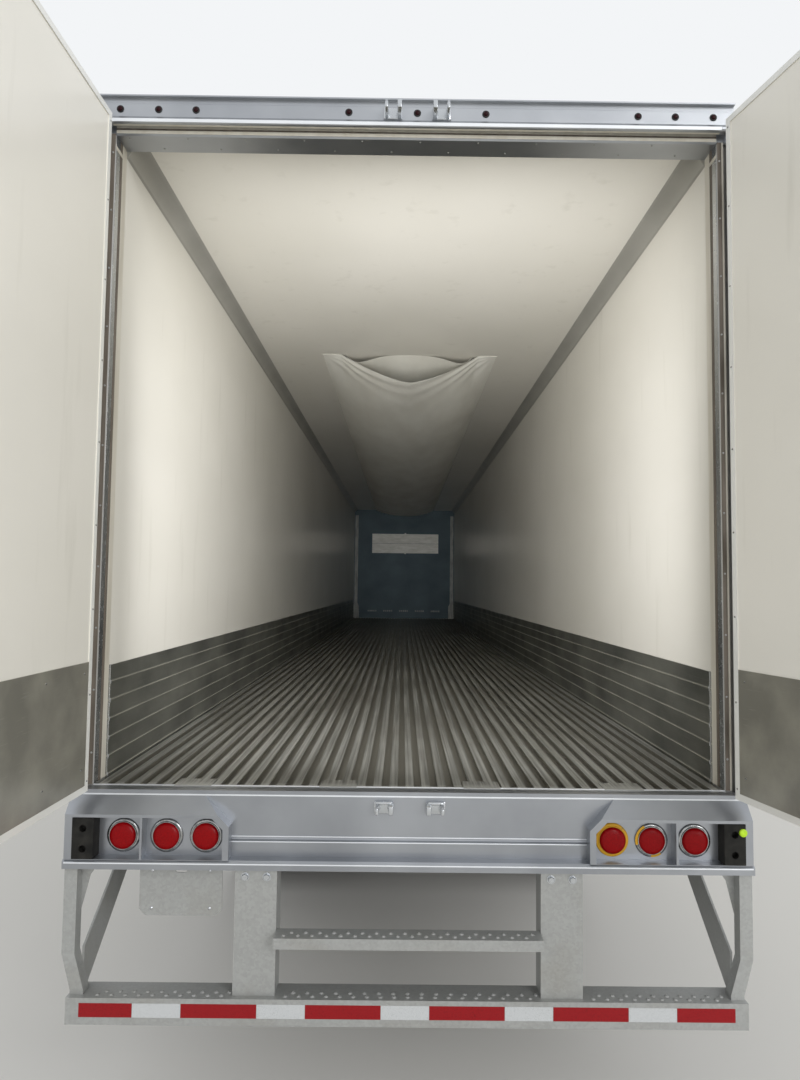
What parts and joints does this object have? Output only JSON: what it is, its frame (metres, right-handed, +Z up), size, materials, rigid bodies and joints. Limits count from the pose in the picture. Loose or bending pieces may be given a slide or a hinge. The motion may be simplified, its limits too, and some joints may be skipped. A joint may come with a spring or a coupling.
{
  "type": "refrigerated box semi trailer",
  "caption": "Refrigerated box semi trailer with both rear swing doors open, ribbed floor, ceiling air chute, sliding tandem with twin wheels, landing legs and a nose-mounted cooling unit.",
  "frame": {"origin": "on the kingpin's axis, level with the lower face of the coupler plate, 1160 mm above the ground", "axes": "+X to the right as seen from behind, +Y forward towards the tractor, +Z up"},
  "size_m": [2.9386, 17.876, 4.115],
  "materials": {
    "body_white": "gloss",
    "liner_white": "gloss",
    "frame_steel": "satin",
    "galvanised": "satin",
    "floor_aluminium": "satin",
    "scuff_metal": "satin",
    "bulkhead_grey": "satin",
    "chute_cloth": "matt",
    "lamp_red": "gloss",
    "lamp_amber": "gloss",
    "black_rubber": "matt",
    "tyre": "matt",
    "chassis_black": "satin",
    "core_grey": "matt",
    "grille_black": "matt",
    "engine_grey": "matt",
    "wheel_steel": "gloss",
    "tank_metal": "polished"
  },
  "bodies": {
    "trailer": {"floor_deck": "floor_aluminium", "floor_core": "core_grey", "crossmembers": "galvanised", "side_wall_right": "body_white", "side_wall_left": "body_white", "roof_panel": "body_white", "front_wall": "body_white", "corner_posts": "frame_steel", "side_rails": "frame_steel", "scuff_liners": "scuff_metal", "ceiling_coves": "liner_white", "bulkhead": "bulkhead_grey", "bulkhead_posts": "frame_steel", "bulkhead_panels": "liner_white", "air_chute": "chute_cloth", "rear_header": "frame_steel", "rear_posts": "frame_steel", "rear_sill": "frame_steel", "tail_lamps": "lamp_red", "dock_pads": "black_rubber", "marker_lamps_red": "lamp_red", "marker_lamps_amber": "lamp_amber", "guard_beam": "galvanised", "guard_posts": "galvanised", "guard_struts": "galvanised", "plate_bracket": "galvanised", "coupler": "chassis_black", "landing_legs": "chassis_black", "landing_braces": "chassis_black", "slider_rails": "galvanised", "bogie_frame": "chassis_black", "bogie_crossmembers": "chassis_black", "trailing_arms": "chassis_black", "air_springs": "black_rubber", "axles": "chassis_black", "brake_chambers": "chassis_black", "mud_flaps": "black_rubber", "fuel_tank": "tank_metal", "unit_housing": "body_white", "unit_engine": "engine_grey", "unit_grille": "grille_black", "service_connectors": "galvanised"},
    "door_left": {"door_left_panel": "liner_white", "door_left_scuff": "scuff_metal", "door_left_hardware": "galvanised"},
    "wheels_rear_left": {"tyres_rear_left": "tyre", "rims_rear_left": "wheel_steel"},
    "wheels_front_left": {"tyres_front_left": "tyre", "rims_front_left": "wheel_steel"},
    "door_right": {"door_right_panel": "liner_white", "door_right_scuff": "scuff_metal", "door_right_hardware": "galvanised"},
    "wheels_rear_right": {"tyres_rear_right": "tyre", "rims_rear_right": "wheel_steel"},
    "wheels_front_right": {"tyres_front_right": "tyre", "rims_front_right": "wheel_steel"}
  },
  "joints": [
    {"name": "door_right_swing", "type": "hinge", "parent": "trailer", "child": "door_right", "pos_m": [1.299, -15.219, 1.511], "axis": [0, 0, 1], "range_deg": [-102.7, 164.3]},
    {"name": "door_left_swing", "type": "hinge", "parent": "trailer", "child": "door_left", "pos_m": [-1.299, -15.219, 1.511], "axis": [0, 0, -1], "range_deg": [-91.5, 175.5]},
    {"name": "wheels_rear_left_spin", "type": "hinge", "parent": "trailer", "child": "wheels_rear_left", "pos_m": [-0.984, -12.115, -0.65], "axis": [1, 0, 0], "continuous": true},
    {"name": "wheels_rear_right_spin", "type": "hinge", "parent": "trailer", "child": "wheels_rear_right", "pos_m": [0.984, -12.115, -0.65], "axis": [1, 0, 0], "continuous": true},
    {"name": "wheels_front_left_spin", "type": "hinge", "parent": "trailer", "child": "wheels_front_left", "pos_m": [-0.984, -10.87, -0.65], "axis": [1, 0, 0], "continuous": true},
    {"name": "wheels_front_right_spin", "type": "hinge", "parent": "trailer", "child": "wheels_front_right", "pos_m": [0.984, -10.87, -0.65], "axis": [1, 0, 0], "continuous": true}
  ]
}
